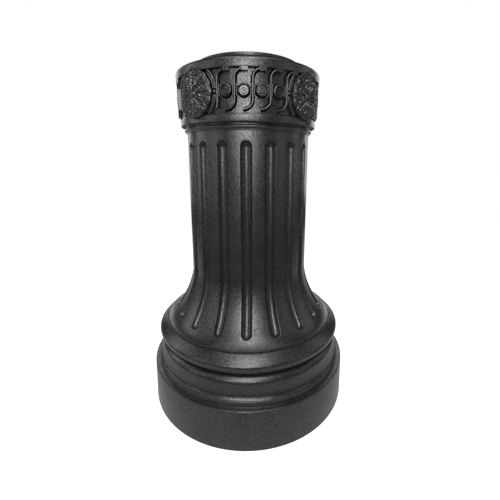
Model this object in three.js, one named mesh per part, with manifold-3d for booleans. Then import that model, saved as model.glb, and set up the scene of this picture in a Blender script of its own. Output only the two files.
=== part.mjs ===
// Decorative two-part base cover for the post of a street clock: two cast half shells, joined on two
// seams by screws that clamp the front half's bosses to the rear half's slotted lap tabs.
// Millimetres, +Z up. The origin is the centre of the foot, on the ground. The seams lie in y = 0.
import * as THREE from 'three';
import { mergeVertices } from 'three/addons/utils/BufferGeometryUtils.js';
import Module from 'manifold-3d';

// ---- Driving dimensions -------------------------------------------------------------------------

const overallHeight = 698;
const plinthFootDiameter = 457;
const shaftFootDiameter = 255;
const shaftTopDiameter = 245;
const postDiameter = 168.3;      // outside of the 6 inch steel post that the cover wraps
const postClearance = 4;         // radial gap between the post and the collar

const wall = 6;                  // thinnest casting wall
const gap = 0.3;                 // clearance between neighbouring pieces

const plinthHeight = 88;
const plinthDraft = 4;           // how much the plinth wall leans in
const plinthWall = 11;
const ledge = 10;                // top of the plinth, outside the ring
const ringHeight = 12;
const coveProjection = 8.5;
const coveHeight = 18;
const ovoloStraight = 11;        // upright part of the ovolo above the cove
const ovoloRadius = 15;
const undercutDepth = 5;         // from the top of the ovolo to the floor of the undercut
const undercutHeight = 3.5;
const torusOverhang = 3;         // the torus starts this far outside the floor of the undercut
const torusProjection = 19;
const torusBelly = 18.5;         // from the foot of the torus up to its widest place
const torusShoulder = 9;         // rounding above the widest place
const torusHeight = 38;
const grooveWidth = 1.5;         // between the torus and the flare
const grooveDepth = 1.5;
const flareStep = 3.8;           // the flare starts this far above the torus
const flareHeight = 111;
const flareExponent = 1.5;       // superellipse exponent of the bell flare

const fluteCount = 18;
const fluteWidth = 20;
const fluteDepth = 9;
const fluteTopMargin = 17;       // from the top of the shaft to the rounded end of a flute
const fluteFootMargin = 13;      // height of the rounded lower end above the foot of the flare

const neckHeight = 2.5;
const neckProjection = 2;
const beadHeight = 6.5;
const beadProjection = 5.5;
const neckGrooveHeight = 3;
const bandHeight = 12;
const bandProjection = 11.5;
const friezeHeight = 66;
const friezeProjection = 8.5;
const rimHeight = 15;
const rimProjection = 16;
const rimRounding = 4.5;
const shoulderRise = 10.5;
const shoulderFlat = 9;          // level ring between the shoulder's slope and the collar
const collarHeight = 6.5;
const collarWall = 12;

const rosetteDiameter = 78;
const rosetteProjection = 19;    // face of the rosettes, measured from the top of the shaft
const rosetteLobes = 8;
const rosetteLobeDepth = 1.2;
const rosetteAngles = [20, 110, 200, 290];  // degrees from the front (-Y), turning towards +X

const screwDiameter = 6;
const screwLength = 20;
const screwHeadDiameter = 10.5;
const screwHeadHeight = 3.3;
const screwSetback = 7.5;        // from the seam to the screws' axes
const holeClearance = 0.4;       // around the screws, in the bosses and slots
const topScrewRise = 4;          // the top screw sits this far above the middle of the frieze
const midScrewShare = 0.56;      // the middle screw's place between the foot and the top of the flutes
const socketAcrossFlats = 4;
const socketDepth = 1.8;
const pocketDiameter = 11.5;
const pocketDepth = 7;           // from the skin beside the seam to the seat of the screw head
const bossThickness = 5;
const bossWidth = 18;            // along y, from the seam
const bossHeight = 22;
const tabThickness = 6;
const tabHeight = 18;
const tabReach = 14.5;           // how far a tab stands out past the seam
const tabRoot = 14;              // how far the tab's root runs onto the rear half
const washerDiameter = 14;
const washerThickness = 1.6;
const nutAcrossFlats = 10;
const nutHeight = 5.2;

const roundSegments = 36;        // sides of the solids of revolution
const arcSteps = 3;              // steps of a moulding's arc
const flareSteps = 5;
const fluteSides = 8;
const holeSegments = 12;

// ---- Sizes that follow --------------------------------------------------------------------------

const plinthFootRadius = plinthFootDiameter / 2;
const plinthTopRadius = plinthFootRadius - plinthDraft;
const ringRadius = plinthTopRadius - ledge;
const coveRadius = ringRadius - coveProjection;
const undercutRadius = coveRadius - ovoloRadius - undercutDepth;
const torusRootRadius = undercutRadius + torusOverhang;
const flareFootRadius = torusRootRadius - grooveWidth;
const shaftFootRadius = shaftFootDiameter / 2;
const shaftTopRadius = shaftTopDiameter / 2;
const boreRadius = postDiameter / 2 + postClearance;
const collarRadius = boreRadius + collarWall;

const ringTop = plinthHeight + ringHeight;
const coveTop = ringTop + coveHeight;
const ovoloSpring = coveTop + ovoloStraight;
const ovoloTop = ovoloSpring + ovoloRadius;
const torusFoot = ovoloTop + undercutHeight;
const torusTop = torusFoot + torusHeight;
const flareFoot = torusTop + flareStep;
const shaftFoot = flareFoot + flareHeight;

const collarFoot = overallHeight - collarHeight;
const rimTop = collarFoot - shoulderRise;
const rimFoot = rimTop - rimHeight;
const friezeFoot = rimFoot - friezeHeight;
const bandFoot = friezeFoot - bandHeight;
const beadTop = bandFoot - neckGrooveHeight;
const beadFoot = beadTop - beadHeight;
const shaftTop = beadFoot - neckHeight;

const neckRadius = shaftTopRadius + neckProjection;
const bandRadius = shaftTopRadius + bandProjection;
const friezeRadius = shaftTopRadius + friezeProjection;
const rimRadius = shaftTopRadius + rimProjection;
const rosetteRadius = shaftTopRadius + rosetteProjection;

const fluteRadius = fluteWidth / 2;
const fluteLift = fluteRadius - fluteDepth;   // the cutter's axis stands this far outside the skin
const fluteTopCentre = shaftTop - fluteTopMargin - fluteRadius;
const fluteEnd = flareFoot + fluteFootMargin;
const fluteFootCentre = fluteEnd + fluteRadius * 0.7;

const friezeMiddle = (friezeFoot + rimFoot) / 2;
const midScrewHeight = shaftFoot + (fluteTopCentre - shaftFoot) * midScrewShare;

const degrees = Math.PI / 180;
const wasm = await Module();
wasm.setup();

// ---- Helpers ------------------------------------------------------------------------------------

// A closed three.js geometry as a solid, with its shared vertices merged.
function solid(geometry) {
  const bare = geometry.index ? geometry.toNonIndexed() : geometry.clone();
  for (const name of Object.keys(bare.attributes)) {
    if (name !== 'position') bare.deleteAttribute(name);
  }
  const merged = mergeVertices(bare, 1e-4);
  const corners = merged.index.array;
  const triangles = [];
  for (let i = 0; i < corners.length; i += 3) {
    const [a, b, c] = corners.slice(i, i + 3);
    if (a !== b && b !== c && c !== a) triangles.push(a, b, c);
  }
  return new wasm.Manifold(new wasm.Mesh({
    numProp: 3,
    vertProperties: new Float32Array(merged.attributes.position.array),
    triVerts: new Uint32Array(triangles),
  }));
}

// A solid as a three.js geometry.
function geometryOf(body) {
  const { vertProperties, triVerts } = body.getMesh();
  const geometry = new THREE.BufferGeometry();
  geometry.setAttribute('position', new THREE.BufferAttribute(new Float32Array(vertProperties), 3));
  geometry.setIndex(new THREE.BufferAttribute(new Uint32Array(triVerts), 1));
  return geometry;
}

// A solid as a named mesh.
function piece(name, body, material) {
  const geometry = geometryOf(body);
  geometry.computeVertexNormals();
  const mesh = new THREE.Mesh(geometry, material);
  mesh.name = name;
  return mesh;
}

// A ring around Z from a closed outline of [radius, z] points, listed with the material on their left.
function turned(outline, segments = roundSegments) {
  const points = [...outline, outline[0]].map(([radius, z]) => new THREE.Vector2(radius, z));
  return new THREE.LatheGeometry(points, segments).rotateX(Math.PI / 2);
}

// A box between two corners.
function block(low, high) {
  const size = high.map((value, axis) => value - low[axis]);
  const centre = high.map((value, axis) => (value + low[axis]) / 2);
  return new THREE.BoxGeometry(...size).translate(...centre);
}

// A straight bar along the X axis from x0 to x1. Six sides give a hexagon.
function bar(radius, x0, x1, sides = holeSegments) {
  const geometry = new THREE.CylinderGeometry(radius, radius, x1 - x0, sides);
  return geometry.rotateZ(-Math.PI / 2).translate((x0 + x1) / 2, 0, 0);
}

function hexRadius(acrossFlats) {
  return acrossFlats / 2 / Math.cos(30 * degrees);
}

// Points of an elliptical arc around a centre, from one angle to another, in degrees.
function arc(radius, z, radial, upright, from, to, steps = arcSteps) {
  return Array.from({ length: steps + 1 }, (_, i) => {
    const angle = (from + (to - from) * i / steps) * degrees;
    return [radius + radial * Math.cos(angle), z + upright * Math.sin(angle)];
  });
}

// ---- Outline of the cover -----------------------------------------------------------------------

// Radius of the skin between the foot of the flare and the top of the shaft, without flutes.
function skinRadius(z) {
  if (z >= shaftFoot) {
    const share = (z - shaftFoot) / (shaftTop - shaftFoot);
    return shaftFootRadius + (shaftTopRadius - shaftFootRadius) * share;
  }
  const left = (shaftFoot - z) / flareHeight;
  const bend = 1 - (1 - left ** flareExponent) ** (1 / flareExponent);
  return shaftFootRadius + (flareFootRadius - shaftFootRadius) * bend;
}

// The skin at height z, moved outwards along its normal.
function skinPoint(z, outwards) {
  const step = 0.5;
  const lean = (skinRadius(z + step) - skinRadius(z - step)) / (2 * step);
  const length = Math.hypot(1, lean);
  return [skinRadius(z) + outwards / length, z - outwards * lean / length];
}

// Heights along the flare, closer together towards its foot.
function flareHeights(from) {
  const places = Array.from({ length: flareSteps + 1 }, (_, i) => (i / flareSteps) ** 1.5);
  return places.map((place) => from + (shaftFoot - from) * place);
}

const bellyHeight = torusFoot + torusBelly;
const shoulderRadius = torusRootRadius + torusProjection - torusShoulder;

const outerOutline = [
  [plinthFootRadius, 0],
  [plinthTopRadius, plinthHeight],
  [ringRadius, plinthHeight],
  [ringRadius, ringTop],
  ...arc(ringRadius, coveTop, -coveProjection, coveHeight, -90, 0).slice(1),
  ...arc(coveRadius - ovoloRadius, ovoloSpring, ovoloRadius, ovoloRadius, 0, 90),
  [undercutRadius, ovoloTop],
  [undercutRadius, torusFoot],
  ...arc(torusRootRadius, bellyHeight, torusProjection, torusBelly, -90, 0, 4),
  ...arc(shoulderRadius, bellyHeight, torusShoulder, torusShoulder, 0, 50, 2).slice(1),
  [torusRootRadius + grooveWidth, torusTop],
  [torusRootRadius, torusTop - grooveDepth],
  ...flareHeights(flareFoot).map((z) => [skinRadius(z), z]),
  [shaftTopRadius, shaftTop],
  [neckRadius, shaftTop],
  [neckRadius, beadFoot],
  ...arc(neckRadius, (beadFoot + beadTop) / 2, beadProjection - neckProjection, beadHeight / 2, -90, 90),
  [neckRadius, bandFoot],
  [bandRadius, bandFoot],
  [bandRadius, friezeFoot],
  [friezeRadius, friezeFoot],
  [friezeRadius, rimFoot],
  [rimRadius, rimFoot],
  ...arc(rimRadius - rimRounding, rimTop - rimRounding, rimRounding, rimRounding, 0, 65, 2),
  [collarRadius + shoulderFlat, collarFoot],
  [collarRadius, collarFoot],
  [collarRadius, overallHeight],
];

// The inside, from the top down. Under the flutes it stays one wall behind their floors.
const innerSkin = -(fluteDepth + wall);
const coreShelf = flareFoot - fluteDepth - wall;
const coreThroat = undercutRadius - pocketDepth - bossThickness + 1;
const innerOutline = [
  [boreRadius, overallHeight],
  [boreRadius, collarFoot - wall],
  [friezeRadius - wall, rimFoot - wall],
  [friezeRadius - wall, friezeFoot],
  [shaftTopRadius + innerSkin, beadFoot - wall],
  ...flareHeights(fluteEnd).reverse().map((z) => skinPoint(z, innerSkin)),
  [coreThroat, coreShelf],
  [coreThroat, ringTop + wall],
  [plinthTopRadius - plinthWall, plinthHeight - wall],
  [plinthFootRadius - plinthWall, 0],
];

// Radius of the inside at height z.
function coreRadius(z) {
  const upper = innerOutline.findIndex((point) => point[1] <= z);
  const [r1, z1] = innerOutline[upper - 1];
  const [r0, z0] = innerOutline[upper];
  return r0 + (r1 - r0) * (z - z0) / (z1 - z0);
}

// ---- The castings -------------------------------------------------------------------------------

// The line through the middle of the front flute's cutter, with its points closer together on the flare.
class FluteLine extends THREE.Curve {
  constructor() {
    super();
    this.points = [...flareHeights(fluteFootCentre), fluteTopCentre].map((z) => {
      const [radius, height] = skinPoint(z, fluteLift);
      return new THREE.Vector3(0, -radius, height);
    });
  }

  getPoint(share) {
    const place = share * (this.points.length - 1);
    const i = Math.min(Math.floor(place), this.points.length - 2);
    return this.points[i].clone().lerp(this.points[i + 1], place - i);
  }

  getPointAt(share) {
    return this.getPoint(share);
  }

  getTangentAt(share) {
    return this.getTangent(share);
  }
}

// The cutter of the front flute: a round rod along the line, with a ball at each end.
function fluteCutter() {
  const line = new FluteLine();
  const section = new THREE.Shape().absarc(0, 0, fluteRadius, 0, 2 * Math.PI);
  const steps = line.points.length - 1;
  const along = { steps, curveSegments: fluteSides / 2, extrudePath: line };
  const rod = new THREE.ExtrudeGeometry(section, along);
  let body = solid(rod);
  for (const end of [line.points[0], line.points[steps]]) {
    const ball = new THREE.SphereGeometry(fluteRadius, fluteSides, fluteSides / 2);
    body = body.add(solid(ball.rotateX(Math.PI / 2).translate(end.x, end.y, end.z)));
  }
  return body;
}

// One rosette: a lobed disc that follows the round of the frieze.
function rosette(angle) {
  const corners = rosetteLobes * 3;
  const outline = Array.from({ length: corners }, (_, i) => {
    const turn = 2 * Math.PI * i / corners;
    const reach = rosetteDiameter / 2 - rosetteLobeDepth * (1 - Math.cos(rosetteLobes * turn));
    return new THREE.Vector2(reach * Math.cos(turn), reach * Math.sin(turn));
  });
  const lobed = new THREE.Shape(outline);
  const disc = new THREE.ExtrudeGeometry(lobed, { depth: rosetteRadius, bevelEnabled: false });
  disc.rotateX(Math.PI / 2).translate(0, 0, friezeMiddle).rotateZ(angle * degrees);
  const innerRadius = friezeRadius - wall / 2;
  const sleeve = turned([
    [innerRadius, bandFoot],
    [rosetteRadius, bandFoot],
    [rosetteRadius, rimTop],
    [innerRadius, rimTop],
  ]);
  return solid(disc).intersect(solid(sleeve));
}

// The hollow body before it is split, with its rosettes on and its flutes cut in.
function wholeCover() {
  let body = solid(turned(outerOutline.concat(innerOutline)));
  for (const angle of rosetteAngles) body = body.add(rosette(angle));
  const cutter = geometryOf(fluteCutter());
  for (let i = 0; i < fluteCount; i += 1) {
    const angle = 90 + i * 360 / fluteCount;
    body = body.subtract(solid(cutter.clone().rotateZ(angle * degrees)));
  }
  return body;
}

// ---- The seams ----------------------------------------------------------------------------------

// Where the screws sit: height, and the skin's distance from the seam plane's centre line there.
const stations = [
  { z: friezeMiddle + topScrewRise, skin: friezeRadius },
  { z: fluteTopCentre, skin: skinRadius(fluteTopCentre) - fluteDepth },
  { z: midScrewHeight, skin: skinRadius(midScrewHeight) - fluteDepth },
  { z: shaftFoot + fluteRadius / 2, skin: skinRadius(shaftFoot + fluteRadius / 2) - fluteDepth },
  { z: ovoloTop + undercutHeight / 2, skin: undercutRadius },
].map((station) => {
  const seat = station.skin - pocketDepth;
  const bossFace = seat - bossThickness;
  const tabFace = bossFace - gap;
  const tabBack = tabFace - tabThickness;
  return { ...station, seat, bossFace, tabFace, tabBack };
});

const sides = { left: -1, right: 1 };
const wayOut = plinthFootRadius + rosetteRadius;  // further out than any part of the cover

// Puts a geometry that was made along +X at a screw's axis on one side.
function atScrew(geometry, side, z) {
  if (side < 0) geometry.rotateZ(Math.PI);
  return geometry.translate(0, -screwSetback, z);
}

// A box on one side, from inner to outer along the side's X.
function sideBlock(side, inner, outer, y0, y1, z, height) {
  const x = [side * inner, side * outer].sort((a, b) => a - b);
  return block([x[0], y0, z - height / 2], [x[1], y1, z + height / 2]);
}

// Halfway through the wall at a station: what is cast onto the inside starts there.
function midWall({ z, skin }) {
  return (coreRadius(z) + skin) / 2;
}

function frontBoss(side, station) {
  return sideBlock(side, station.bossFace, midWall(station), -bossWidth, -gap / 2, station.z, bossHeight);
}

// The pocket for the screw head and the hole for its shank.
function screwPocket(side, { z, seat, bossFace }) {
  const pocket = atScrew(bar(pocketDiameter / 2, seat, wayOut), side, z);
  const hole = atScrew(bar(screwDiameter / 2 + holeClearance, bossFace - 1, seat + 1), side, z);
  return solid(pocket).add(solid(hole));
}

// A lap tab on the rear half: a root on the wall and a flat tongue behind the front boss.
function lapTab(side, station) {
  const { z, tabFace, tabBack } = station;
  const root = sideBlock(side, tabBack, midWall(station), gap / 2, tabRoot, z, tabHeight);
  const tongue = sideBlock(side, tabBack, tabFace, -tabReach, tabRoot, z, tabHeight);
  return solid(root).add(solid(tongue));
}

// The slot in a tab, open towards the front, so the front half draws off with its screws only slackened.
function tabSlot(side, { z, tabFace, tabBack }) {
  const radius = screwDiameter / 2 + holeClearance;
  const end = atScrew(bar(radius, tabBack - 1, tabFace + 1), side, z);
  const mouth = sideBlock(side, tabBack - 1, tabFace + 1, -tabReach - 1, -screwSetback, z, radius * 2);
  return solid(end).add(solid(mouth));
}

function everyStation(action) {
  for (const side of Object.values(sides)) {
    for (const station of stations) action(side, station);
  }
}

function frontShell(cover) {
  const half = block([-wayOut, -wayOut, -1], [wayOut, -gap / 2, overallHeight + 1]);
  let body = cover.intersect(solid(half));
  everyStation((side, station) => {
    body = body.add(solid(frontBoss(side, station)));
  });
  everyStation((side, station) => {
    body = body.subtract(screwPocket(side, station));
  });
  return body;
}

function rearShell(cover) {
  const half = block([-wayOut, gap / 2, -1], [wayOut, wayOut, overallHeight + 1]);
  let body = cover.intersect(solid(half));
  everyStation((side, station) => {
    body = body.add(lapTab(side, station)).subtract(tabSlot(side, station));
  });
  return body;
}

// ---- The fasteners ------------------------------------------------------------------------------

// A button-head screw along +X with its head outwards: a turned body with a hexagon socket.
function screw({ seat }) {
  const underHead = seat + gap;
  const shank = screwDiameter / 2;
  const head = screwHeadDiameter / 2;
  const outline = [
    [0, underHead - screwLength],
    [shank, underHead - screwLength],
    [shank, underHead],
    [head, underHead],
    [head, underHead + screwHeadHeight * 0.35],
    [head * 0.8, underHead + screwHeadHeight * 0.8],
    [head * 0.5, underHead + screwHeadHeight],
    [0, underHead + screwHeadHeight],
  ].map(([radius, x]) => new THREE.Vector2(radius, x));
  const body = new THREE.LatheGeometry(outline, holeSegments).rotateZ(-Math.PI / 2);
  const top = underHead + screwHeadHeight;
  const socket = bar(hexRadius(socketAcrossFlats), top - socketDepth, top + 1, 6);
  return solid(body).subtract(solid(socket));
}

function washer({ tabBack }) {
  const face = tabBack - gap;
  const disc = bar(washerDiameter / 2, face - washerThickness, face);
  const hole = bar(screwDiameter / 2 + gap, face - washerThickness - 1, face + 1);
  return solid(disc).subtract(solid(hole));
}

function nut({ tabBack }) {
  const face = tabBack - washerThickness - 2 * gap;
  const body = bar(hexRadius(nutAcrossFlats), face - nutHeight, face, 6);
  const hole = bar(screwDiameter / 2 + gap, face - nutHeight - 1, face + 1);
  return solid(body).subtract(solid(hole));
}

// ---- The assembly -------------------------------------------------------------------------------

const blackCoat = new THREE.MeshStandardMaterial({ color: 0x2b2b2c, roughness: 0.6, metalness: 0 });
const blackSteel = new THREE.MeshStandardMaterial({ color: 0x161616, roughness: 0.45, metalness: 0.6 });
const zincSteel = new THREE.MeshStandardMaterial({ color: 0xb4b7ba, roughness: 0.4, metalness: 1 });

const cover = wholeCover();
const baseCover = new THREE.Group();
baseCover.add(piece('front_half_shell', frontShell(cover), blackCoat));
baseCover.add(piece('rear_half_shell', rearShell(cover), blackCoat));

const fasteners = {
  seam_screw: [screw, blackSteel],
  washer: [washer, zincSteel],
  hex_nut: [nut, zincSteel],
};
for (const [sideName, side] of Object.entries(sides)) {
  stations.forEach((station, i) => {
    for (const [name, [make, material]] of Object.entries(fasteners)) {
      const mesh = piece(`${name}_${sideName}_${i + 1}`, make(station), material);
      if (side < 0) mesh.rotation.z = Math.PI;
      mesh.position.set(0, -screwSetback, station.z);
      baseCover.add(mesh);
    }
  });
}

export default baseCover;
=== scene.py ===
"""Looks for the cast base cover of a street clock's post: two half shells with fluted shaft and ornamental
frieze, and the screws, washers and nuts of their seams. Lengths are in millimetres until a mesh is made."""
import math

import bmesh
import bpy
import numpy as np
from mathutils import Matrix, Vector


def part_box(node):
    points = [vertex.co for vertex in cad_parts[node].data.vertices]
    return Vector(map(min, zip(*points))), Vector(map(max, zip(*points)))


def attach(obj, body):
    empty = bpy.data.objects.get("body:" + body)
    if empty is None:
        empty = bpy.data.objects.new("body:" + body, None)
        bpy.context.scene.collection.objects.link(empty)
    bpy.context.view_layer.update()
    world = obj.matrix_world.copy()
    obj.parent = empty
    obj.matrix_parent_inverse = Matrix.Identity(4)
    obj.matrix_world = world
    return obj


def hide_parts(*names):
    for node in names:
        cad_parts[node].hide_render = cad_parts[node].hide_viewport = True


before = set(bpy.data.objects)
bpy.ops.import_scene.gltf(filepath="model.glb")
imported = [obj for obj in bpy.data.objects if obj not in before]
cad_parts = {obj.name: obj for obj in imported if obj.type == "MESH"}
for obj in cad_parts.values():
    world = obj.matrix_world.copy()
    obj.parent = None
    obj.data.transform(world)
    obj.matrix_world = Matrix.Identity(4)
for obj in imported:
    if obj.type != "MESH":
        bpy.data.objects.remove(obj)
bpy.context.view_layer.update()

# ---- Sizes of the cover --------------------------------------------------------------------------

MM = 0.001
HEIGHT = 698.0
BORE = 88.15              # radius of the hole for the post
COLLAR = 100.15
SHAFT_FOOT = (127.5, 300.3)
SHAFT_TOP = (122.5, 576.0)
FLARE_FOOT = (187.5, 189.3)
FLARE_EXPONENT = 1.5      # superellipse exponent of the bell flare
WALL = 6.0
HALF_GAP = 0.15           # from the seam plane to the face of a half
SEAM_CHAMFER = 0.6

FLUTES = 18
FLUTE_RADIUS = 10.0
FLUTE_LIFT = 1.0          # the groove's axis stands this far outside the skin
FLUTE_LIP = 1.5           # rounding of a flute's edge
FLUTE_TOP = 549.0         # centre of the rounded upper end
FLUTE_FOOT = 209.3        # centre of the rounded lower end

FRIEZE = 131.0            # radius of the frieze's ground
FRIEZE_FOOT = 600.0
RIM_FOOT = 666.0
RIM = 138.5
FRIEZE_MIDDLE = 634.0
SCROLL_PITCH = 12.3       # degrees between neighbouring scrolls
SCROLL_STEM = (-15.0, 18.0)
SCROLL_HOOK = (16.0, 13.0)
RIB_HALF = 1.7            # half the width of a scroll's ridge
ROUNDEL_PIT = 11.6
ARC_REACHES = (45.0, 41.0)
ROSETTE_RADIUS = 39.0
ROSETTE_HEIGHT = 633.0
ROSETTE_FACE = 139.4      # radius of the rosettes' ground
ROSETTE_TOP = 142.8       # no leaf stands further out than this radius
ROSETTE_PIT = ROSETTE_RADIUS + 7.0
ROSETTE_ANGLES = (-70.0, 20.0)
PETALS = 8

SCREW_SETBACK = 7.5
SCREW_HOLE = 3.4
POCKET_RADIUS = 5.75
POCKET_DEPTH = 7.0
BOSS_THICKNESS = 5.0
TAB_THICKNESS = 6.0
TAB_HALF_HEIGHT = 9
TAB_DEPTH = 14            # how far a tab's root reaches back from the seam plane
TAB_ROUNDING = 1.2
TONGUE_INSET = 0.1        # a tongue is this much smaller than its root, so no faces coincide
# Height of each screw, and the distance of the skin beside it from the post's axis.
STATIONS = ((637.0, 131.0), (549.0, 113.99), (439.6, 115.97), (305.3, 118.41), (145.75, 186.0))

COAT, CORE, PAINTED_SHADE, RIDGE_SHEEN = range(4)    # the shells' finishes: coat, cast inside, near-black painted shade for recesses, and a shinier copy of the coat as painted highlight on ridges

SEGMENTS = 108            # of a half turn
CELL = 6                  # segments of half a flute's pitch
LAND = 4                  # columns from a flute's lip to the middle of the land


# ---- Meshes --------------------------------------------------------------------------------------

def add_object(name, points, faces, sharp_degrees=35):
    """An object from points in millimetres. Edges sharper than the angle stay crisp."""
    mesh = bpy.data.meshes.new(name)
    mesh.from_pydata((np.asarray(points, float) * MM).tolist(), [], faces)
    piece = bpy.data.objects.new(name, mesh)
    bpy.context.scene.collection.objects.link(piece)
    smooth(piece, sharp_degrees)
    return piece


def smooth(piece, sharp_degrees=35):
    piece.data.shade_smooth()
    piece.data.set_sharp_from_angle(angle=math.radians(sharp_degrees))


def grid_faces(rows, columns, start=0, wrap=False):
    """Quads of a grid of points listed row by row. A wrapped row closes on itself."""
    faces = []
    for row in range(rows - 1):
        for column in range(columns if wrap else columns - 1):
            a = start + row * columns + column
            b = start + row * columns + (column + 1) % columns
            faces.append((a, b, b + columns, a + columns))
    return faces


def combine(piece, other, operation, finish=0):
    """Adds the other object to the piece, or cuts it away, with new faces in the given finish.

    The other object is used up.
    """
    other.data.materials.clear()
    for material in piece.data.materials:
        other.data.materials.append(material)
    for face in other.data.polygons:
        face.material_index = finish
    change = piece.modifiers.new("change", "BOOLEAN")
    change.object = other
    change.operation = operation
    change.solver = "MANIFOLD"
    changed = piece.evaluated_get(bpy.context.evaluated_depsgraph_get())
    mesh = bpy.data.meshes.new_from_object(changed)
    piece.modifiers.clear()
    piece.data = mesh
    bpy.data.objects.remove(other)


def face_outwards(piece):
    shape = bmesh.new()
    shape.from_mesh(piece.data)
    bmesh.ops.recalc_face_normals(shape, faces=shape.faces)
    shape.to_mesh(piece.data)
    shape.free()


def joined(name, bodies):
    """One object from several closed bodies, each given as points and faces."""
    points, faces = [], []
    for body_points, body_faces in bodies:
        start = len(points)
        points.extend(np.asarray(body_points, float).tolist())
        faces.extend(tuple(start + corner for corner in face) for face in body_faces)
    piece = add_object(name, points, faces)
    face_outwards(piece)
    return piece


def on_cover(across, upright, radius, reference):
    """Points on a round wall from the distance across, measured at the reference radius, and the height."""
    across, upright, radius = np.broadcast_arrays(across, upright, radius)
    turn = across / reference
    return np.stack([radius * np.sin(turn), -radius * np.cos(turn), upright], -1)


def rounded(outline, steps=3):
    """An outline of (radius, height, rounding) corners with each corner rounded."""
    points = [np.array(outline[0][:2], float)]
    for before, corner, after in zip(outline, outline[1:], outline[2:]):
        here = np.array(corner[:2], float)
        rounding = corner[2] if len(corner) > 2 else 0
        ends = []
        for other in (before, after):
            arm = np.array(other[:2], float) - here
            length = np.hypot(*arm)
            ends.append(here + arm / length * min(rounding, length * 0.45))
        if rounding == 0:
            points.append(here)
            continue
        for i in range(steps + 1):
            t = i / steps
            points.append((1 - t) ** 2 * ends[0] + 2 * t * (1 - t) * here + t ** 2 * ends[1])
    points.append(np.array(outline[-1][:2], float))
    return points


def arc(radius, height, across, upright, start, end, steps):
    """Corners of an elliptical moulding around a centre, between two angles in degrees."""
    angles = np.radians(np.linspace(start, end, steps + 1))
    return [(radius + across * math.cos(a), height + upright * math.sin(a)) for a in angles]


# ---- The skin between the foot of the flare and the top of the shaft -----------------------------

def skin_curve():
    """Radius, height, outward normal and arc length of points along the flare and the shaft."""
    turn = np.linspace(0, math.pi / 2, 400)
    power = 2 / FLARE_EXPONENT
    radius = SHAFT_FOOT[0] + (FLARE_FOOT[0] - SHAFT_FOOT[0]) * (1 - np.sin(turn) ** power)
    height = SHAFT_FOOT[1] - (SHAFT_FOOT[1] - FLARE_FOOT[1]) * np.abs(np.cos(turn)) ** power
    radius = np.append(radius, np.linspace(SHAFT_FOOT[0], SHAFT_TOP[0], 60)[1:])
    height = np.append(height, np.linspace(SHAFT_FOOT[1], SHAFT_TOP[1], 60)[1:])
    length = np.append(0, np.cumsum(np.hypot(np.diff(radius), np.diff(height))))
    along = np.gradient(radius, length), np.gradient(height, length)
    size = np.hypot(*along)
    return radius, height, along[1] / size, -along[0] / size, length


SKIN = skin_curve()
SKIN_LENGTH = SKIN[4][-1]


def skin_place(height):
    """Arc length along the skin at a height."""
    return float(np.interp(height, SKIN[1], SKIN[4]))


def skin_at(place, outwards):
    """Radius of the skin, then radius and height of the points moved outwards from it."""
    radius, height, out_radius, out_height = (np.interp(place, SKIN[4], values) for values in SKIN[:4])
    return radius, radius + outwards * out_radius, height + outwards * out_height


# ---- Half a shell --------------------------------------------------------------------------------

SEAM_EDGE = HALF_GAP + SEAM_CHAMFER
FLUTE_PITCH = 2 * math.pi / FLUTES


def off_seam(across, reach):
    """Moves points off the seam plane, by less the nearer they are to the far side of the cell."""
    return across + SEAM_EDGE * (1 - across / reach)


def lathe_rows(outline):
    """Rows of points across half a turn, for each corner of an outline."""
    rows = []
    for radius, height in outline:
        angles = np.linspace(-math.pi / 2, math.pi / 2, SEGMENTS + 1)
        reach = radius * FLUTE_PITCH / 2
        near = off_seam(np.linspace(0, reach, CELL + 1), reach) / radius
        angles[:CELL + 1] = near - math.pi / 2
        angles[-CELL - 1:] = math.pi / 2 - near[::-1]
        row = np.stack([radius * np.sin(angles), -radius * np.cos(angles), np.full(len(angles), height)], -1)
        edge = math.sqrt(radius ** 2 - SEAM_EDGE ** 2)
        row[0, :2] = -edge, -SEAM_EDGE
        row[-1, :2] = edge, -SEAM_EDGE
        rows.append(row)
    return np.array(rows)


def flute_section():
    """Half the section of a flute, from its floor to the end of its rounded lip, as distance and depth."""
    reach, rise = FLUTE_RADIUS + FLUTE_LIP, FLUTE_LIFT + FLUTE_LIP
    low = math.atan2(rise, math.sqrt(reach ** 2 - rise ** 2))
    groove = np.linspace(-math.pi / 2, -low, 9)
    points = [(FLUTE_RADIUS * math.cos(a), FLUTE_LIFT + FLUTE_RADIUS * math.sin(a)) for a in groove]
    centre = (FLUTE_RADIUS + FLUTE_LIP) * math.cos(low)
    for a in np.linspace(math.pi - low, math.pi / 2, 5)[1:]:
        points.append((centre + FLUTE_LIP * math.cos(a), -FLUTE_LIP + FLUTE_LIP * math.sin(a)))
    return np.array(points)


def with_land(section, edge):
    """A row from the floor of the flute to the middle of the land. Points are (across, along, depth)."""
    share = np.linspace(0, 1, LAND + 1)[1:, None]
    lip = section[-1]
    return np.concatenate([section, lip + (np.array(edge) - lip) * share])


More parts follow.
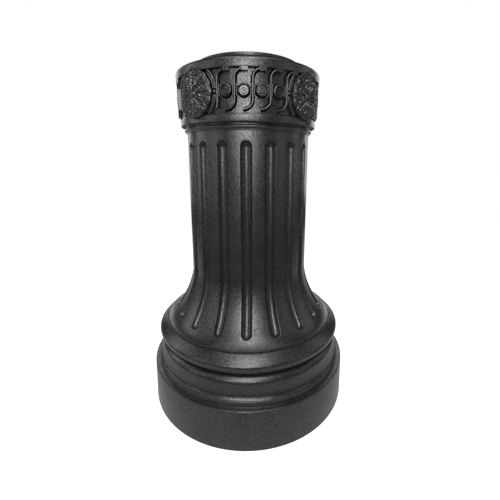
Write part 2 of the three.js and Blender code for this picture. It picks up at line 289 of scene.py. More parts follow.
def flute_half():
    """Half a flute and half a land, as rows of (across, place on the skin, depth)."""
    section = flute_section()
    foot, top = skin_place(FLUTE_FOOT), skin_place(FLUTE_TOP)
    bend = skin_place(SHAFT_FOOT[1])

    def reach(place):
        return skin_at(place, 0)[0] * FLUTE_PITCH / 2

    def end_rows(centre, end):
        """Spokes of a rounded end, from the one across the flute to the one along it."""
        rows = []
        sides = [(1.0, i / CELL) for i in range(CELL)] + [(1 - i / CELL, 1.0) for i in range(CELL + 1)]
        for i, (across, along) in enumerate(sides):
            turn = math.pi / 2 * i / (2 * CELL)
            spoke = [(d * math.cos(turn), centre + math.copysign(d, end - centre) * math.sin(turn), h)
                     for d, h in section]
            place = centre + (end - centre) * along
            rows.append(with_land(np.array(spoke), (reach(place) * across, place, 0)))
        return np.array(rows)

    places = np.append(foot + (bend - foot) * np.linspace(0, 1, 25), np.linspace(bend, top, 9)[1:])
    channel = []
    for place in places:
        row = np.stack([section[:, 0], np.full(len(section), place), section[:, 1]], -1)
        channel.append(with_land(row, (reach(place), place, 0)))
    return [end_rows(foot, 0.0)[::-1], np.array(channel), end_rows(top, SKIN_LENGTH)]


def place_flute(rows, middle, side):
    """A half flute's rows on the cover, on one side of its middle. Those at the seams are moved off it."""
    across, place, depth = rows[..., 0], rows[..., 1], rows[..., 2]
    skin, radius, height = skin_at(place, depth)
    at_seam = abs(abs(middle) - math.pi / 2) < 1e-6
    on_middle = across < 1e-6
    if at_seam:
        across = off_seam(across, skin * FLUTE_PITCH / 2)
    angle = middle + side * across / skin
    points = np.stack([radius * np.sin(angle), -radius * np.cos(angle), height], -1)
    if at_seam:
        edge = np.sqrt(radius ** 2 - SEAM_EDGE ** 2) * math.copysign(1, middle)
        points[..., 0] = np.where(on_middle, edge, points[..., 0])
        points[..., 1] = np.where(on_middle, -SEAM_EDGE, points[..., 1])
    return points


def base_outline():
    """From the foot up to the foot of the flare."""
    corners = [(228.5, 0), (228.5, 0.01), (224.5, 88, 1.8), (214.5, 88.2, 0.8), (214.5, 100.1, 1.2)]
    corners += arc(214.5, 118, -8.5, 18, -76, 0, 9)
    corners += arc(191, 129, 15, 15, 0, 90, 9)
    corners += [(186, 144, 0.8), (186, 147.3, 0.6)]
    corners += arc(189, 166, 19, 18.5, -88, 0, 12)
    corners += arc(199, 166, 9, 9, 8, 50, 6)
    corners += [(190.6, 185.4, 0.7), (189.2, 184.2), (188.2, 184.8), (187.8, 188.6, 0.6), FLARE_FOOT]
    return rounded(corners)


def crown_outline():
    """From the top of the shaft to the top of the collar."""
    corners = [SHAFT_TOP, (124.5, 576.2, 0.8), (124.5, 578.4, 0.5)]
    corners += arc(124.5, 581.75, 3.5, 3.25, -85, 85, 8)
    corners += [(124.5, 585.2, 0.4), (124.5, 588, 0.5), (134, 588, 1.8), (134, 600, 2), (FRIEZE, 600.4, 1)]
    corners += [(FRIEZE, z) for z in (610, 622, 634, 646, 658)]
    corners += [(FRIEZE, RIM_FOOT, 1.2), (RIM, RIM_FOOT, 1.5)]
    corners += arc(134, 676.5, 4.5, 4.5, 0, 68, 6)
    corners += [(122, 686.2), (109, 691.2, 3), (COLLAR, 691.6, 0.8), (COLLAR, HEIGHT, 1.2), (BORE, HEIGHT, 1)]
    return rounded(corners)


def core_outline():
    """The inside, from the top of the collar down to the foot, and across the foot."""
    corners = [(BORE, HEIGHT), (BORE, 685.5, 4), (125, 660, 6), (125, 600, 6), (107.5, 572.5, 8)]
    for place in np.linspace(skin_place(SHAFT_FOOT[1]), skin_place(202.3), 9):
        corners.append(tuple(float(v) for v in skin_at(place, -(FLUTE_RADIUS - FLUTE_LIFT + WALL))[1:]))
    corners += [(175, 174.3, 5), (175, 106, 8), (213.5, 82, 8), (217.5, 0), (228.5, 0)]
    return rounded(corners)


def seam_loops(shell):
    """The open edges of a half, as two closed loops of vertices."""
    edges = [edge for edge in shell.edges if edge.is_boundary]
    loops = []
    while edges:
        edge = edges[0]
        loop = [edge.verts[0]]
        vertex = edge.verts[1]
        used = {edge}
        while vertex is not loop[0]:
            loop.append(vertex)
            edge = next(e for e in vertex.link_edges if e.is_boundary and e not in used)
            used.add(edge)
            vertex = edge.other_vert(vertex)
        edges = [e for e in edges if e not in used]
        loops.append(loop)
    return loops


def close_seams(shell):
    """Chamfers the open edges of a half and closes each with the flat face of the seam."""
    for loop in seam_loops(shell):
        flat = np.array([(v.co.x, v.co.z) for v in loop])
        after, before = np.roll(flat, -1, 0), np.roll(flat, 1, 0)
        area = np.sum(flat[:, 0] * after[:, 1] - after[:, 0] * flat[:, 1])
        tangent = after - before
        tangent /= np.hypot(*tangent.T)[:, None]
        inwards = np.stack([-tangent[:, 1], tangent[:, 0]], -1) * math.copysign(1, area)
        inner = flat + inwards * SEAM_CHAMFER
        new = [shell.verts.new((x, -HALF_GAP, z)) for x, z in inner]
        for i in range(len(loop)):
            j = (i + 1) % len(loop)
            shell.faces.new((loop[i], loop[j], new[j], new[i]))
        shell.faces.new(new)


def half_shell(name, finishes):
    """The bare front half: mouldings, flutes, inside and seam faces. The inside takes the second material."""
    shell = bmesh.new()
    outlines = (base_outline(), COAT), (crown_outline(), COAT), (core_outline(), CORE)
    patches = [(lathe_rows(outline), finish) for outline, finish in outlines]
    for rows in flute_half():
        for i in range(FLUTES // 2 + 1):
            middle = -math.pi / 2 + i * FLUTE_PITCH
            for side in (-1, 1):
                if abs(middle + side * FLUTE_PITCH / 2) < math.pi / 2:
                    patches.append((place_flute(rows, middle, side), COAT))
    for rows, material in patches:
        points = [shell.verts.new(point) for point in rows.reshape(-1, 3)]
        for face in grid_faces(*rows.shape[:2]):
            shell.faces.new([points[i] for i in face]).material_index = material
    bmesh.ops.remove_doubles(shell, verts=shell.verts, dist=0.004)
    bmesh.ops.dissolve_degenerate(shell, edges=shell.edges, dist=0.002)
    close_seams(shell)
    bmesh.ops.recalc_face_normals(shell, faces=shell.faces)
    bmesh.ops.scale(shell, vec=(MM, MM, MM), verts=shell.verts)
    mesh = bpy.data.meshes.new(name)
    shell.to_mesh(mesh)
    shell.free()
    for finish in finishes:
        mesh.materials.append(finish)
    piece = bpy.data.objects.new(name, mesh)
    bpy.context.scene.collection.objects.link(piece)
    return piece


# ---- Ornament of the frieze ----------------------------------------------------------------------

ORNAMENT_ROOT = FRIEZE - 4.2
CHANNEL_FLOOR = FRIEZE - 3.0      # bottom of the narrow channels beside the ribs
OUTSIDE = RIM + 8                 # a radius outside everything on the frieze
CHANNEL_WIDTH = 1.9
ORNAMENT_REFERENCE = 135.0


def rib(path, profile):
    """A closed rib along a path of (across, height) points, with a profile of (aside, radius) points."""
    path = np.array(path, float)
    tangent = np.gradient(path, axis=0)
    tangent /= np.hypot(*tangent.T)[:, None]
    aside, radius = np.array(profile, float).T
    across = path[:, :1] + tangent[:, 1:] * aside
    height = path[:, 1:] - tangent[:, :1] * aside
    points = on_cover(across, height, radius[None], ORNAMENT_REFERENCE).reshape(-1, 3)
    rows, columns = across.shape
    faces = grid_faces(rows, columns, wrap=True)
    faces.append(tuple(range(columns))[::-1])
    faces.append(tuple(range((rows - 1) * columns, rows * columns)))
    return points, faces


def slim_profile(top, half=1.8):
    """A tall ridge with upright sides and a round top."""
    turns = np.radians(np.linspace(0, 75, 5))
    half_section = [(half, ORNAMENT_ROOT)]
    half_section += [(half * math.cos(a), top - half * (1 - math.sin(a))) for a in turns]
    return [(-a, r) for a, r in half_section] + half_section[::-1]


def channel_profile(half):
    """A deep upright slot, wider than the rib that stands in it."""
    reach = half + CHANNEL_WIDTH
    return [(-reach, CHANNEL_FLOOR), (-reach, OUTSIDE), (reach, OUTSIDE), (reach, CHANNEL_FLOOR)]


def flat_profile(top, half):
    """A low flat strip with rounded edges."""
    half_section = [(half + 0.5, ORNAMENT_ROOT), (half, top - 0.8), (half - 0.8, top)]
    return [(-a, r) for a, r in half_section] + half_section[::-1]


def relief(angle, height, distances, turns, surface, root=ORNAMENT_ROOT):
    """A closed round relief: the surface function gives the radius at a distance and a direction."""
    direction = np.linspace(0, 2 * math.pi, turns, endpoint=False)
    distance = np.asarray(distances, float)[1:, None]
    centre = math.radians(angle) * ORNAMENT_REFERENCE
    rim, radius = surface(distance, direction[None])
    across = centre + rim * np.cos(direction)
    upright = height + rim * np.sin(direction)
    rows = on_cover(across, upright, radius, ORNAMENT_REFERENCE)
    skirt = on_cover(across[-1], upright[-1], root, ORNAMENT_REFERENCE)
    top = surface(np.zeros((1, 1)), direction[None, :1])[1][0, 0]
    middle = on_cover(centre, height, top, ORNAMENT_REFERENCE)
    points = np.concatenate([middle[None], rows.reshape(-1, 3), skirt])
    faces = [(0, 1 + i, 1 + (i + 1) % turns) for i in range(turns)]
    faces = [face[::-1] for face in faces] + grid_faces(len(rows) + 1, turns, start=1, wrap=True)
    last = 1 + len(rows) * turns
    faces.append(tuple(range(last, last + turns)))
    return points, faces


def scroll_path(angle, foot=True):
    """The middle line of a scroll, from the tip of its lower hook to the end of its upper one."""
    across = math.radians(angle) * ORNAMENT_REFERENCE
    wide, tall = SCROLL_HOOK
    bend = np.radians(np.linspace(0, 90, 9))
    upper = [(wide * (1 - math.cos(a)), SCROLL_STEM[1] + tall * math.sin(a)) for a in bend]
    lower = [(-wide * (1 - math.cos(a)), SCROLL_STEM[0] - tall * math.sin(a)) for a in bend[::-1]]
    if not foot:
        lower = [(-1.2, SCROLL_STEM[0] - 11), (-0.5, SCROLL_STEM[0] - 6), (0, SCROLL_STEM[0])]
    middle = [(0.0, z) for z in np.linspace(*SCROLL_STEM, 5)[1:-1]]
    return [(across + a, FRIEZE_MIDDLE + z) for a, z in lower + middle + upper]


def scroll_tab(angle):
    """The tab that joins a scroll's upper hook to the rim."""
    across = math.radians(angle) * ORNAMENT_REFERENCE + SCROLL_HOOK[0]
    middle = RIM_FOOT - 1.5
    path = [(across - 5, middle), (across, middle), (across + 5, middle)]
    return rib(path, [(-3.4, ORNAMENT_ROOT), (-3.4, RIM - 0.4), (3.4, RIM - 0.4), (3.4, ORNAMENT_ROOT)])


def roundel_surface(distance, direction):
    """A boss of two rings around a dot."""
    profile = ((0, 137.6), (1.3, 137.4), (1.9, 134.6), (2.7, 134.6), (3.3, 137.3), (4.8, 137.3), (5.5, 133.6),
               (7.1, 133.6), (7.7, 137.7), (8.3, 138.3), (9.0, 138.0), (9.6, 136.5), (9.9, 132.5))
    reach, radius = np.array(profile).T
    flat = np.zeros_like(direction)
    return distance + flat, np.interp(distance, reach, radius) + flat


ROUNDEL_DISTANCES = (0, 0.7, 1.3, 1.9, 2.7, 3.3, 4.1, 4.8, 5.5, 6.3, 7.1, 7.7, 8.3, 9.0, 9.6, 9.9)


def roundel_plate(angle):
    """The level strip behind a roundel, which joins the scrolls beside it."""
    across = math.radians(angle) * ORNAMENT_REFERENCE
    half = math.radians(SCROLL_PITCH) * ORNAMENT_REFERENCE / 2
    path = [(across + a, FRIEZE_MIDDLE) for a in np.linspace(-half, half, 9)]
    return rib(path, flat_profile(FRIEZE + 3, 5.5))


def round_pit(angle, height, reach):
    """A round pit in the frieze."""
    def surface(distance, direction):
        return distance + np.zeros_like(direction), np.full(np.broadcast(distance, direction).shape, OUTSIDE)
    return relief(angle, height, (0, reach / 2, reach), 48, surface, CHANNEL_FLOOR)


def roundel_bracket(angle, side):
    """A short upright rib between a roundel and a scroll."""
    across = math.radians(angle) * ORNAMENT_REFERENCE + side * 11.6
    path = [(across, FRIEZE_MIDDLE + z) for z in (-8.5, -3, 3, 9.5)]
    return rib(path, slim_profile(FRIEZE + 5, 0.9))


def groove(distance, width):
    return np.exp(-(distance / width) ** 2)


def rosette_surface(distance, direction):
    """A rosette: eight veined petals, curls and holes between them, a boss, and a thin scalloped edge."""
    outline = 1 - 0.022 * (1 - np.cos(2 * PETALS * direction)) * (distance / ROSETTE_RADIUS) ** 4
    turn = direction * PETALS / (2 * math.pi)
    share = 2 * (turn - np.round(turn))
    aside = share * math.pi / PETALS * distance
    between = (1 - np.abs(share)) * math.pi / PETALS * distance
    length = np.clip((distance - 5) / 32, 0, 1)
    width = 0.9 * np.sin(math.pi * length ** 0.8) ** 0.5
    petal = np.clip((width - np.abs(share)) / 0.14, 0, 1)
    petal = petal * petal * (3 - 2 * petal)
    height = 2.4 * petal * (1 - 0.4 * (share / np.maximum(width, 0.2)) ** 2)
    height = height - 1.8 * petal * groove(aside, 0.8)
    for start in (10.0, 15.5, 21.0, 26.5, 32.0):
        height = height - 1.5 * petal * groove(distance - start - 1.0 * np.abs(aside), 0.75)
    curl = np.hypot(distance - 14.5, between)
    height = height + 2.2 * groove(curl - 3.2, 1.0) - 2.6 * groove(curl, 1.4)
    hole = np.hypot(distance - 27.0, between)
    height = height - 3.8 * np.exp(-(hole / 2.1) ** 4) + 1.2 * groove(hole - 3.6, 0.9)
    height = height + 1.3 * groove(distance - 37.0, 1.0) - 1.2 * groove(distance - 34.4, 0.9)
    boss = 2.8 * np.sqrt(np.clip(1 - (distance / 4.6) ** 2, 0, 1))
    height = height + boss - 1.8 * groove(distance - 5.8, 0.9)
    return distance * outline, np.minimum(ROSETTE_FACE + 0.75 * height, ROSETTE_TOP)


def arc_paths(angle, side, reach):
    """The middle lines of the upper and the lower crescent beside a rosette."""
    centre = math.radians(angle) * ORNAMENT_REFERENCE
    for start, end in ((6, 46), (-46, -6)):
        turns = np.radians(np.linspace(start, end, 12))
        yield [(centre + side * reach * math.cos(a), ROSETTE_HEIGHT + reach * math.sin(a)) for a in turns]


def rosette_knot(angle, side):
    def surface(distance, direction):
        flat = np.zeros_like(direction)
        return distance + flat, FRIEZE + 3.4 + 3.9 * np.sqrt(np.clip(1 - (distance / 3.3) ** 2, 0, 1)) + flat
    reach = math.degrees(43.0 / ORNAMENT_REFERENCE)
    return relief(angle + side * reach, ROSETTE_HEIGHT, (0, 1, 1.9, 2.6, 3.1, 3.29), 16, surface)


def frieze_layers():
    """The ornament of one half: pairs of an operation and bodies that don't meet one another."""
    stems, roundels = [], []
    for middle in (-25.0, 65.0):
        stems += [middle + SCROLL_PITCH * k for k in (-2, -1, 0, 1, 2)]
        roundels += [middle + SCROLL_PITCH * k for k in (-1.5, -0.5, 0.5, 1.5)]
    stems = [a for a in stems if a < 85]
    roundels = [a for a in roundels if a < 80]
    firsts = (stems[0], stems[5])
    paths = [scroll_path(a, foot=a not in firsts) for a in stems]
    sides = [(a, side) for a in ROSETTE_ANGLES for side in (-1, 1)]
    outer_arcs, inner_arcs = ([path for a, side in sides for path in arc_paths(a, side, reach)]
                              for reach in ARC_REACHES)
    rosette_rings = np.append(0, np.linspace(0.7, ROSETTE_RADIUS, 48))
    return [
        ("UNION", COAT, [roundel_plate(a) for a in roundels]),
        # The channels and pits beside the ornament take the near-black finish: painted shade.
        ("DIFFERENCE", PAINTED_SHADE, [rib(path, channel_profile(RIB_HALF)) for path in paths]),
        ("DIFFERENCE", PAINTED_SHADE, [round_pit(a, FRIEZE_MIDDLE, ROUNDEL_PIT) for a in roundels]),
        ("DIFFERENCE", PAINTED_SHADE, [round_pit(a, ROSETTE_HEIGHT, ROSETTE_PIT) for a in ROSETTE_ANGLES]),
        # The ribs, roundels, brackets, arcs and knots take the shinier copy of the coat: a painted highlight.
        ("UNION", RIDGE_SHEEN, [rib(path, slim_profile(FRIEZE + 7, RIB_HALF)) for path in paths]),
        ("UNION", RIDGE_SHEEN, [relief(a, FRIEZE_MIDDLE, ROUNDEL_DISTANCES, 28, roundel_surface)
                          for a in roundels]),
        ("UNION", RIDGE_SHEEN, [roundel_bracket(a, side) for a in roundels for side in (-1, 1)]),
        ("UNION", COAT, [scroll_tab(a) for a in stems]),
        ("UNION", RIDGE_SHEEN, [rib(path, slim_profile(FRIEZE + 6.6, 1.5)) for path in outer_arcs]),
        ("UNION", RIDGE_SHEEN, [rib(path, slim_profile(FRIEZE + 5.2, 1.0)) for path in inner_arcs]),
        ("UNION", RIDGE_SHEEN, [rosette_knot(a, side) for a in ROSETTE_ANGLES for side in (-1, 1)]),
        ("UNION", COAT, [relief(a, ROSETTE_HEIGHT, rosette_rings, 160, rosette_surface)
                         for a in ROSETTE_ANGLES]),
    ]


# ---- Bosses, tabs and pockets at the screws ------------------------------------------------------

def rounded_block(low, high, rounding):
    """Points and faces of a block with bevelled edges."""
    block = bmesh.new()
    bmesh.ops.create_cube(block, size=1)
    size = Vector(high) - Vector(low)
    bmesh.ops.scale(block, vec=size, verts=block.verts)
    bmesh.ops.translate(block, vec=(Vector(high) + Vector(low)) / 2, verts=block.verts)
    bmesh.ops.bevel(block, geom=block.edges[:], offset=rounding, segments=2, profile=0.5, affect="EDGES")
    block.verts.index_update()
    points = [tuple(v.co) for v in block.verts]
    faces = [tuple(v.index for v in face.verts) for face in block.faces]
    block.free()
    return points, faces


def side_block(side, inner, outer, y_range, z_range, rounding):
    """A rounded block on one side of the cover, from inner to outer along that side's X."""
    x0, x1 = sorted((side * inner, side * outer))
    return rounded_block((x0, y_range[0], z_range[0]), (x1, y_range[1], z_range[1]), rounding)


def x_rod(side, inner, outer, y, z, radius, turns=32):
    """A closed rod along X. Its outer end may have another radius."""
    radii = radius if isinstance(radius, (tuple, list)) else (radius, radius)
    angles = np.linspace(0, 2 * math.pi, turns, endpoint=False)
    points = []
    for x, reach in zip((side * inner, side * outer), radii):
        points += [(x, y + reach * math.cos(a), z + reach * math.sin(a)) for a in angles]
    faces = grid_faces(2, turns, wrap=True)
    faces += [tuple(range(turns)), tuple(range(turns, 2 * turns))[::-1]]
    return points, faces


def station_places(skin):
    seat = skin - POCKET_DEPTH
    boss_face = seat - BOSS_THICKNESS
    tab_face = boss_face - 2 * HALF_GAP
    return seat, boss_face, tab_face, tab_face - TAB_THICKNESS


def core_radius(height):
    """Radius of the inside at a height."""
    outline = core_outline()
    radii, heights = np.array(outline[:-1]).T
    return float(np.interp(height, heights[::-1], radii[::-1]))


def each_station():
    for side in (-1, 1):
        for height, skin in STATIONS:
            yield side, height, skin


def front_bosses():
    bosses = []
    for side, height, skin in each_station():
        seat, boss_face, tab_face, tab_back = station_places(skin)
        root = (core_radius(height) + skin) / 2
        bosses.append(side_block(side, boss_face, root, (-18, -HALF_GAP), (height - 11, height + 11), 1.6))
    return joined("bosses", bosses)


def pockets():
    """The screws' pockets, and the holes for their shanks."""
    rods, holes = [], []
    for side, height, skin in each_station():
        seat, boss_face, tab_face, tab_back = station_places(skin)
        rods.append(x_rod(side, seat, 300, -SCREW_SETBACK, height, POCKET_RADIUS))
        holes.append(x_rod(side, boss_face - 3, seat + 1, -SCREW_SETBACK, height, SCREW_HOLE))
    return joined("pockets", rods), joined("holes", holes)


def rear_tabs():
    """The tabs of the rear half: a root on the wall, then a tongue behind the front half's boss."""
    roots, tongues = [], []
    for side, height, skin in each_station():
        seat, boss_face, tab_face, tab_back = station_places(skin)
        middle = (core_radius(height) + skin) / 2
        z_range = (height - TAB_HALF_HEIGHT, height + TAB_HALF_HEIGHT)
        roots.append(side_block(side, tab_back, middle, (HALF_GAP, TAB_DEPTH), z_range, TAB_ROUNDING))
        tongue_z = (z_range[0] + TONGUE_INSET, z_range[1] - TONGUE_INSET)
        tongue_y = (-14.5, TAB_DEPTH - TONGUE_INSET)
        tongues.append(side_block(side, tab_back, tab_face, tongue_y, tongue_z, TAB_ROUNDING))
    return joined("roots", roots), joined("tongues", tongues)


def tab_slots():
    """The slots in the tabs, open to the front."""
    ends, mouths = [], []
    for side, height, skin in each_station():
        seat, boss_face, tab_face, tab_back = station_places(skin)
        ends.append(x_rod(side, tab_back - 1, tab_face + 1, -SCREW_SETBACK, height, SCREW_HOLE))
        mouths.append(side_block(side, tab_back - 1, tab_face + 1, (-16, -SCREW_SETBACK),
                                 (height - SCREW_HOLE, height + SCREW_HOLE), 0.1))
    return joined("slot_ends", ends), joined("slot_mouths", mouths)


# ---- The two shells ------------------------------------------------------------------------------

def ornamented_half(name, finishes):
    """A front half with the ornament of its frieze."""
    piece = half_shell(name, finishes)
    clear = rounded_block((-300, -300, 500), (300, -HALF_GAP, 720), 0.01)
    frieze_space = [rounded_block((-300, -300, FRIEZE_FOOT + 0.5), (300, -1.5, RIM_FOOT - 0.5), 0.01)]
    for i, (operation, finish, layer) in enumerate(frieze_layers()):
        ornament = joined(f"ornament_{i}", layer)
        limit = frieze_space if operation == "DIFFERENCE" else [clear]
        combine(ornament, joined("limit", limit), "INTERSECT")
        combine(piece, ornament, operation, finish)
    return piece


def half_turned(piece):
    piece.data.transform(Matrix.Rotation(math.pi, 4, "Z"))


def front_cover(finishes):
    piece = ornamented_half("front_cover", finishes)
    combine(piece, front_bosses(), "UNION", CORE)
    for cutter in pockets():
        # The pockets' walls take the near-black finish: painted shade.
        combine(piece, cutter, "DIFFERENCE", PAINTED_SHADE)
    return piece


def rear_cover(finishes):
    piece = ornamented_half("rear_cover", finishes)
    half_turned(piece)
    for part in rear_tabs():
        combine(piece, part, "UNION", CORE)
    for cutter in tab_slots():
        combine(piece, cutter, "DIFFERENCE", CORE)
    return piece


# ---- Fasteners -----------------------------------------------------------------------------------

TURNS = 36


def spun(name, rows, side, centre, closed=False):
    """A body around a line along X from rows of (x, radii). A closed one is a ring, others get flat ends."""
    angles = np.linspace(0, 2 * math.pi, TURNS, endpoint=False)
    points = []
    for x, radii in rows:
        radii = np.broadcast_to(radii, TURNS)
        for r, a in zip(radii, angles):
            points.append((side * x, centre[0] + r * math.cos(a), centre[1] + r * math.sin(a)))
    faces = grid_faces(len(rows), TURNS, wrap=True)
    last = (len(rows) - 1) * TURNS
    if closed:
        faces += [(last + i, last + (i + 1) % TURNS, (i + 1) % TURNS, i) for i in range(TURNS)]
    else:
        faces += [tuple(range(TURNS)), tuple(range(last, last + TURNS))[::-1]]
    piece = add_object(name, points, faces, 30)
    face_outwards(piece)
    smooth(piece, 30)
    return piece


def hexagon(across_flats):
    """Radii of a hexagon's outline, one for each turn."""
    angles = np.linspace(0, 2 * math.pi, TURNS, endpoint=False)
    from_flat = (angles + math.pi / 6) % (math.pi / 3) - math.pi / 6
    return across_flats / 2 / np.cos(from_flat)


def node_place(node):
    """Side, inner and outer end along that side's X, and the centre (y, z) of a fastener's node."""
    low, high = (np.array(corner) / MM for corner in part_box(node))
    side = 1 if low[0] + high[0] > 0 else -1
    inner, outer = sorted(abs(x) for x in (low[0], high[0]))
    return side, inner, outer, ((low[1] + high[1]) / 2, (low[2] + high[2]) / 2)


def screw_piece(node):
    """A button-head screw with a hexagon socket and a threaded tip."""
    side, inner, outer, centre = node_place(node)
    under_head = outer - 3.3
    rows = [(inner, 2.1), (inner + 0.6, 2.7)]
    for i in range(11):
        x = inner + 0.9 + i
        rows += [(x, 2.98), (x + 0.35, 2.98), (x + 0.6, 2.6), (x + 0.75, 2.6)]
    rows += [(inner + 12.2, 2.98), (under_head, 2.98), (under_head, 5.0), (under_head + 0.25, 5.25),
             (under_head + 0.9, 5.25)]
    for turn in np.radians(np.linspace(15, 62, 6)):
        rows.append((under_head + 0.6 + 2.75 * math.sin(turn), 5.3 * math.cos(turn) + 0.1))
    socket = hexagon(4)
    rows += [(outer - 0.1, 2.6), (outer - 0.25, socket), (outer - 1.9, socket), (outer - 2.2, socket * 0.5)]
    return spun("button_" + node, rows, side, centre)


def washer_piece(node):
    side, inner, outer, centre = node_place(node)
    rows = [(inner, 3.5), (inner, 6.8), (inner + 0.2, 7.0), (outer - 0.2, 7.0), (outer, 6.8), (outer, 3.5),
            (outer - 0.2, 3.3), (inner + 0.2, 3.3)]
    return spun("plain_" + node, rows, side, centre, closed=True)


def nut_piece(node):
    """A hexagon nut with its corners chamfered to a cone at both faces."""
    side, inner, outer, centre = node_place(node)
    outline = hexagon(10)
    shoulder = np.minimum(outline, 5.3)
    rows = [(inner, 3.7), (inner, 4.8), (inner + 0.25, np.minimum(outline, 5.05)), (inner + 0.55, shoulder),
            (inner + 0.9, outline), (outer - 0.9, outline), (outer - 0.55, shoulder),
            (outer - 0.25, np.minimum(outline, 5.05)), (outer, 4.8), (outer, 3.7), (outer - 0.5, 3.3),
            (inner + 0.5, 3.3)]
    return spun("chamfered_" + node, rows, side, centre, closed=True)


# ---- Materials -----------------------------------------------------------------------------------

def new_material(name):
    material = bpy.data.materials.new(name)
    material.use_nodes = True
    nodes = material.node_tree.nodes
    return material, nodes, material.node_tree.links, nodes["Principled BSDF"]


def noise(nodes, links, scale, detail, roughness=0.5):
    """A noise texture in the piece's own space."""
    place = nodes.new("ShaderNodeTexCoord")
    texture = nodes.new("ShaderNodeTexNoise")
    texture.inputs["Scale"].default_value = scale
    texture.inputs["Detail"].default_value = detail
    texture.inputs["Roughness"].default_value = roughness
    links.new(place.outputs["Object"], texture.inputs["Vector"])
    return texture.outputs["Fac"]


def ramp(nodes, links, value, stops):
    """A colour ramp with stops of (place, colour)."""
    node = nodes.new("ShaderNodeValToRGB")
    for element, (place, colour) in zip(node.color_ramp.elements, (stops[0], stops[-1])):
        element.position = place
        element.color = (*colour, 1)
    for place, colour in stops[1:-1]:
        node.color_ramp.elements.new(place).color = (*colour, 1)
    links.new(value, node.inputs["Fac"])
    return node.outputs["Color"]


def grey(value):
    return (value, value, value)


def bump(nodes, links, height, depth, strength=1.0, normal=None):
    """A bump of the given depth in millimetres, on top of another normal if there is one."""
    node = nodes.new("ShaderNodeBump")
    node.inputs["Distance"].default_value = depth * MM
    node.inputs["Strength"].default_value = strength
    links.new(height, node.inputs["Height"])
    if normal:
        links.new(normal, node.inputs["Normal"])
    return node.outputs["Normal"]


def powder_coat(name, least_shine):
    """Satin black powder coat with a fine sand texture. Between its grains it shines the least."""
    material, nodes, links, shader = new_material(name)
    cloud = noise(nodes, links, 22, 3)
    sand = noise(nodes, links, 470, 2, 0.8)
    links.new(ramp(nodes, links, cloud, [(0.3, (0.009, 0.009, 0.0094)), (0.7, (0.014, 0.014, 0.0146))]),
              shader.inputs["Base Color"])
    links.new(ramp(nodes, links, sand, [(0.3, grey(0.22)), (0.7, grey(0.36))]), shader.inputs["Roughness"])
    links.new(ramp(nodes, links, sand, [(0.36, grey(least_shine)), (0.64, grey(1.0))]),
              shader.inputs["Specular IOR Level"])
    links.new(bump(nodes, links, sand, 0.4, 0.7), shader.inputs["Normal"])
    return material


def painted_shade_recess():
    """Near-black, barely shining paint for the walls of the pockets and of the channels in the frieze:
    painted shade in these recesses.
    """
    material, nodes, links, shader = new_material("painted_shade_recess")
    grain = noise(nodes, links, 700, 3)
    links.new(ramp(nodes, links, grain, [(0.3, grey(0.002)), (0.7, grey(0.005))]),
              shader.inputs["Base Color"])
    shader.inputs["Roughness"].default_value = 0.9
    shader.inputs["Specular IOR Level"].default_value = 0.05
    return material


def cast_core():
    """The rough sand-cast inside, with thin overspray of the coat."""
    material, nodes, links, shader = new_material("cast_core")
    cloud = noise(nodes, links, 9, 6, 0.6)
    grain = noise(nodes, links, 520, 5, 0.65)
    metal = [(0.35, (0.03, 0.03, 0.031)), (0.6, (0.06, 0.06, 0.062)), (0.72, (0.11, 0.11, 0.112))]
    links.new(ramp(nodes, links, cloud, metal), shader.inputs["Base Color"])
    links.new(ramp(nodes, links, grain, [(0.3, grey(0.62)), (0.7, grey(0.88))]), shader.inputs["Roughness"])
    links.new(bump(nodes, links, grain, 0.9, 0.9), shader.inputs["Normal"])
    return material


def black_steel():
    """Black oxide with a slight oily mottle."""
    material, nodes, links, shader = new_material("black_oxide_steel")
    shader.inputs["Metallic"].default_value = 0.7
    mottle = noise(nodes, links, 260, 4)
    links.new(ramp(nodes, links, mottle, [(0.3, (0.012, 0.012, 0.013)), (0.7, (0.035, 0.035, 0.037))]),
              shader.inputs["Base Color"])
    links.new(ramp(nodes, links, mottle, [(0.3, grey(0.3)), (0.7, grey(0.5))]), shader.inputs["Roughness"])
    links.new(bump(nodes, links, noise(nodes, links, 1500, 2), 0.08, 0.5), shader.inputs["Normal"])
    return material


def zinc_steel():
    """Zinc plate: pale metal with clouds and a fine even grain."""
    material, nodes, links, shader = new_material("zinc_plated_steel")
    shader.inputs["Metallic"].default_value = 1.0
    cloud = noise(nodes, links, 180, 4)
    links.new(ramp(nodes, links, cloud, [(0.3, (0.45, 0.46, 0.48)), (0.7, (0.66, 0.66, 0.66))]),
              shader.inputs["Base Color"])
    links.new(ramp(nodes, links, cloud, [(0.3, grey(0.28)), (0.7, grey(0.46))]), shader.inputs["Roughness"])
    links.new(bump(nodes, links, noise(nodes, links, 2200, 2), 0.05, 0.5), shader.inputs["Normal"])
    return material


def floor_finish(name, glow):
    """A matt pale floor that glows a little, so that it stays pale around the dark cover."""
    material, nodes, links, shader = new_material(name)
    cloud = noise(nodes, links, 3, 2)
    links.new(ramp(nodes, links, cloud, [(0.3, grey(0.3)), (0.7, grey(0.31))]), shader.inputs["Base Color"])
    shader.inputs["Roughness"].default_value = 0.9
    shader.inputs["Emission Color"].default_value = (1, 1, 1, 1)
    shader.inputs["Emission Strength"].default_value = glow
    return material


# ---- Putting it together -------------------------------------------------------------------------

def dress_shell(piece, node, body):
    smooth(piece, 32)
    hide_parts(node)
    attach(piece, body)


def dress_fastener(make, node, finish):
    piece = make(node)
    piece.data.materials.append(finish)
    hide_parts(node)
    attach(piece, "front_half")


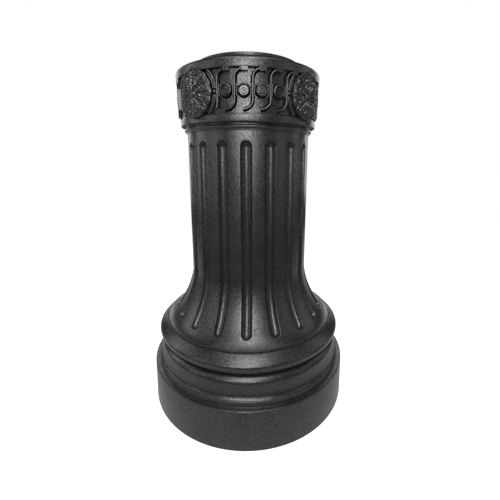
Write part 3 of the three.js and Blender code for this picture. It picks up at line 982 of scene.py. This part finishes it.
def build_cover():
    # The third finish paints shade into recesses; the fourth is a shinier copy of the coat that paints
    # highlights on the ridges.
    finishes = powder_coat("powder_coat", 0.12), cast_core(), painted_shade_recess(), powder_coat("ridge_sheen_coat", 0.6)
    steel, zinc = black_steel(), zinc_steel()
    dress_shell(front_cover(finishes), "front_half_shell", "front_half")
    dress_shell(rear_cover(finishes), "rear_half_shell", "rear_half")
    for side in ("left", "right"):
        for i in range(1, len(STATIONS) + 1):
            dress_fastener(screw_piece, f"seam_screw_{side}_{i}", steel)
            dress_fastener(washer_piece, f"washer_{side}_{i}", zinc)
            dress_fastener(nut_piece, f"hex_nut_{side}_{i}", zinc)


# ---- Floor, light and camera ---------------------------------------------------------------------

CAMERA_DISTANCE = 0.655       # metres from the post's axis
CAMERA_HEIGHT = 0.5247
CAMERA_AZIMUTH = math.radians(-28)
CAMERA_TURN = math.radians(2.66)    # to the right of the axis
CAMERA_PITCH = math.radians(16.61)
CAMERA_ROLL = math.radians(0.49)
CAMERA_LENS = 21.24
CAMERA_SHIFT = -0.0245
FLOOR_REACH = 9000.0
GLOSS_FLOOR_REACH = 1270.0


def add_disc(name, middle, reach, height, glow):
    """A flat pale disc on the stage. Its middle is in metres, its reach and height are in millimetres."""
    turns = np.linspace(0, 2 * math.pi, 96, endpoint=False)
    x, y = middle[0] / MM, middle[1] / MM
    corners = [(x + reach * math.cos(a), y + reach * math.sin(a), height) for a in turns]
    disc = add_object(name, corners, [tuple(range(len(turns)))])
    disc.data.materials.append(floor_finish("pale_" + name, glow))
    return disc


def add_floor():
    """A wide floor, and a dimmer one that reaches further back and alone shows in the cover's gloss."""
    floor = add_disc("floor", (0, 0), FLOOR_REACH, -0.4, 1.0)
    floor.visible_glossy = False
    behind = around(math.degrees(CAMERA_AZIMUTH) + 180, 0.75, 0)
    gloss_floor = add_disc("gloss_floor", behind, GLOSS_FLOOR_REACH, -0.6, 0.3)
    gloss_floor.visible_camera = False
    gloss_floor.visible_diffuse = False
    gloss_floor.visible_shadow = False


def area_light(name, place, target, size, power):
    lamp = bpy.data.lights.new(name, "AREA")
    lamp.shape = "RECTANGLE"
    lamp.size, lamp.size_y = size
    lamp.energy = power
    light = bpy.data.objects.new(name, lamp)
    light.location = place
    light.rotation_euler = (Vector(target) - Vector(place)).to_track_quat("-Z", "Y").to_euler()
    bpy.context.scene.collection.objects.link(light)


def around(azimuth, distance, height):
    """A place at an azimuth in degrees from the front, turning towards +X."""
    angle = math.radians(azimuth)
    return (distance * math.sin(angle), -distance * math.cos(angle), height)


def add_lights():
    """Soft boxes: overhead, low and high in front, beside and behind. Azimuths are from the camera's."""
    middle = (0, 0, 0.4)
    boxes = (
        ("overhead", 0, 0.3, 2.2, (1.5, 1.1), 13),
        ("front_low", -4, 1.5, 0.9, (0.8, 0.5), 16),
        ("front_high", 0, 1.2, 1.75, (0.8, 0.6), 19),
        ("left_front", -60, 1.7, 0.9, (0.5, 1.3), 4),
        ("right_front", 60, 1.7, 0.9, (0.5, 1.3), 2),
        ("left_side", -95, 1.7, 0.9, (0.5, 1.3), 5.5),
        ("right_side", 95, 1.7, 0.9, (0.5, 1.3), 2.5),
        ("left_back", -140, 1.7, 0.9, (0.5, 1.3), 5),
        ("right_back", 140, 1.7, 0.9, (0.5, 1.3), 5),
    )
    for name, azimuth, distance, height, size, power in boxes:
        place = around(math.degrees(CAMERA_AZIMUTH) + azimuth, distance, height)
        area_light(name, place, middle, size, power)
    world = bpy.data.worlds.new("studio")
    world.use_nodes = True
    back = world.node_tree.nodes["Background"]
    back.inputs["Color"].default_value = (1, 1, 1, 1)
    back.inputs["Strength"].default_value = 1.0
    world.cycles_visibility.glossy = False
    world.cycles_visibility.diffuse = False
    bpy.context.scene.world = world


def add_camera():
    lens = bpy.data.cameras.new("camera")
    lens.lens = CAMERA_LENS
    lens.sensor_width = 36
    lens.shift_x = CAMERA_SHIFT
    lens.clip_start = 0.01
    camera = bpy.data.objects.new("camera", lens)
    place = Vector(around(math.degrees(CAMERA_AZIMUTH), CAMERA_DISTANCE, CAMERA_HEIGHT))
    camera.matrix_world = (Matrix.Translation(place) @ Matrix.Rotation(CAMERA_AZIMUTH - CAMERA_TURN, 4, "Z")
                           @ Matrix.Rotation(math.pi / 2 - CAMERA_PITCH, 4, "X")
                           @ Matrix.Rotation(CAMERA_ROLL, 4, "Z"))
    bpy.context.scene.collection.objects.link(camera)
    bpy.context.scene.camera = camera


bpy.context.scene.view_settings.view_transform = "Standard"
add_camera()
add_floor()
add_lights()
build_cover()
